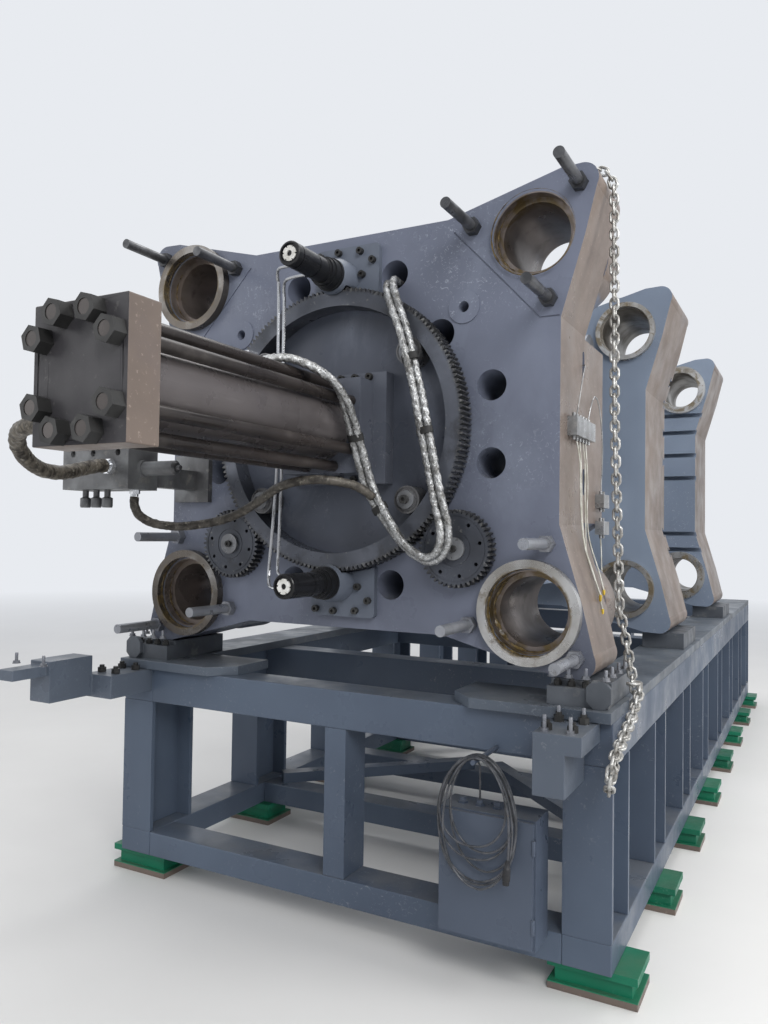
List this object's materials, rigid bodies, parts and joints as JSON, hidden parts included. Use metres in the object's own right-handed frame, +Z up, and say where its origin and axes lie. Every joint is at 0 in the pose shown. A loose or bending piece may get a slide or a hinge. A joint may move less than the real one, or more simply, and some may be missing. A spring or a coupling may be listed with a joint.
{
  "type": "die casting machine clamping unit",
  "caption": "Stripped clamping unit of a cold-chamber die casting machine: three platens on a welded base, toggle, closing cylinder and die height gear train.",
  "frame": {"origin": "middle of the machine's footprint on the floor", "axes": "+Y along the machine from the closing cylinder to the die end, +X to the right seen from the cylinder end, +Z up"},
  "size_m": [2.24, 6.687, 2.7672],
  "materials": {
    "frame_paint": "satin, scuffed",
    "plate_paint": "satin, scuffed",
    "way_steel": "worn paint on steel",
    "mount_green": "satin, dirty",
    "platen_paint": "satin, scuffed",
    "platen_grey": "satin, scuffed",
    "shoe_steel": "machined, oily",
    "bright_ring": "turned",
    "stud_steel": "turned, oily",
    "black_nut": "black oxide",
    "gear_steel": "dark, oily",
    "idler_paint": "satin, oily",
    "roller_steel": "dark, oily",
    "axle_steel": "turned",
    "motor_black": "satin black",
    "cylinder_foot": "satin",
    "barrel_brown": "satin, brown grey",
    "block_brown": "satin, brown grey",
    "rod_black": "dark, oily",
    "link_steel": "machined, greasy",
    "pin_steel": "ground",
    "box_paint": "satin",
    "screw_black": "black oxide, oily",
    "valve_metal": "machined, oily",
    "foil_wrap": "crinkled foil",
    "hose_wrap": "wrapped, greasy",
    "pipe_steel": "bright, drawn",
    "block_metal": "machined",
    "clear_line": "cloudy, greasy",
    "black_cable": "matt",
    "chain_metal": "galvanised, dull"
  },
  "bodies": {
    "machine": {"base_columns": "frame_paint", "base_end_beams": "frame_paint", "base_side_rails": "frame_paint", "base_sills": "frame_paint", "base_cross_beams": "frame_paint", "base_braces": "frame_paint", "corner_plates": "plate_paint", "slide_ways": "way_steel", "corner_arms": "plate_paint", "levelling_mounts": "mount_green", "tail_platen": "platen_paint", "moving_platen": "platen_grey", "fixed_platen": "platen_grey", "platen_shoes": "shoe_steel", "bore_rings": "bright_ring", "clamp_studs": "stud_steel", "stud_nuts": "black_nut", "gear_axles": "axle_steel", "drive_brackets": "platen_paint", "drive_motors": "motor_black", "cylinder_foot": "cylinder_foot", "cylinder_barrel": "barrel_brown", "cylinder_end_block": "block_brown", "cylinder_tie_rods": "rod_black", "cylinder_nuts": "black_nut", "toggle_lugs": "platen_grey", "toggle_rear_links": "link_steel", "toggle_front_links": "link_steel", "toggle_pins": "pin_steel", "crosshead_links": "link_steel", "crosshead": "link_steel", "cap_screws": "screw_black", "valve_block": "valve_metal", "foil_hose": "foil_wrap", "branch_hose": "hose_wrap", "end_hose": "hose_wrap", "steel_pipes": "pipe_steel", "lubrication": "block_metal", "loose_line_1": "clear_line", "loose_line_2": "clear_line", "junction_box": "box_paint", "cable_hank": "black_cable", "chain_over": "chain_metal", "chain_hanging": "chain_metal", "chain_loop": "chain_metal"},
    "ring_gear": {"ring_gear": "gear_steel"},
    "idler_right": {"idler_right": "idler_paint"},
    "idler_left": {"idler_left": "idler_paint"},
    "pinion_top": {"pinion_top": "gear_steel"},
    "pinion_bottom": {"pinion_bottom": "gear_steel"},
    "roller_1": {"roller_1": "roller_steel"},
    "roller_2": {"roller_2": "roller_steel"},
    "roller_3": {"roller_3": "roller_steel"},
    "roller_4": {"roller_4": "roller_steel"}
  },
  "joints": [
    {"name": "ring_gear_spin", "type": "hinge", "parent": "machine", "child": "ring_gear", "pos_m": [0, -2.0765, 1.865], "axis": [0, 1, 0], "continuous": true},
    {"name": "idler_right_spin", "type": "hinge", "parent": "machine", "child": "idler_right", "pos_m": [0.49278, -2.0765, 1.42595], "axis": [0, 1, 0], "continuous": true},
    {"name": "idler_left_spin", "type": "hinge", "parent": "machine", "child": "idler_left", "pos_m": [-0.49278, -2.0765, 1.42595], "axis": [0, 1, 0], "continuous": true},
    {"name": "pinion_top_spin", "type": "hinge", "parent": "machine", "child": "pinion_top", "pos_m": [0, -2.0765, 2.441], "axis": [0, 1, 0], "continuous": true},
    {"name": "pinion_bottom_spin", "type": "hinge", "parent": "machine", "child": "pinion_bottom", "pos_m": [0, -2.0765, 1.289], "axis": [0, 1, 0], "continuous": true},
    {"name": "roller_1_spin", "type": "hinge", "parent": "machine", "child": "roller_1", "pos_m": [0.31844, -2.0765, 2.13221], "axis": [0, 1, 0], "continuous": true},
    {"name": "roller_2_spin", "type": "hinge", "parent": "machine", "child": "roller_2", "pos_m": [-0.31844, -2.0765, 2.13221], "axis": [0, 1, 0], "continuous": true},
    {"name": "roller_3_spin", "type": "hinge", "parent": "machine", "child": "roller_3", "pos_m": [0.31844, -2.0765, 1.59779], "axis": [0, 1, 0], "continuous": true},
    {"name": "roller_4_spin", "type": "hinge", "parent": "machine", "child": "roller_4", "pos_m": [-0.31844, -2.0765, 1.59779], "axis": [0, 1, 0], "continuous": true}
  ],
  "couplings": [
    {"joint": "idler_right_spin", "follows": "ring_gear_spin", "ratio": -4},
    {"joint": "idler_left_spin", "follows": "ring_gear_spin", "ratio": -4},
    {"joint": "pinion_top_spin", "follows": "ring_gear_spin", "ratio": -11},
    {"joint": "pinion_bottom_spin", "follows": "ring_gear_spin", "ratio": -11},
    {"joint": "roller_1_spin", "follows": "ring_gear_spin", "ratio": 9.32},
    {"joint": "roller_2_spin", "follows": "ring_gear_spin", "ratio": 9.32},
    {"joint": "roller_3_spin", "follows": "ring_gear_spin", "ratio": 9.32},
    {"joint": "roller_4_spin", "follows": "ring_gear_spin", "ratio": 9.32}
  ]
}
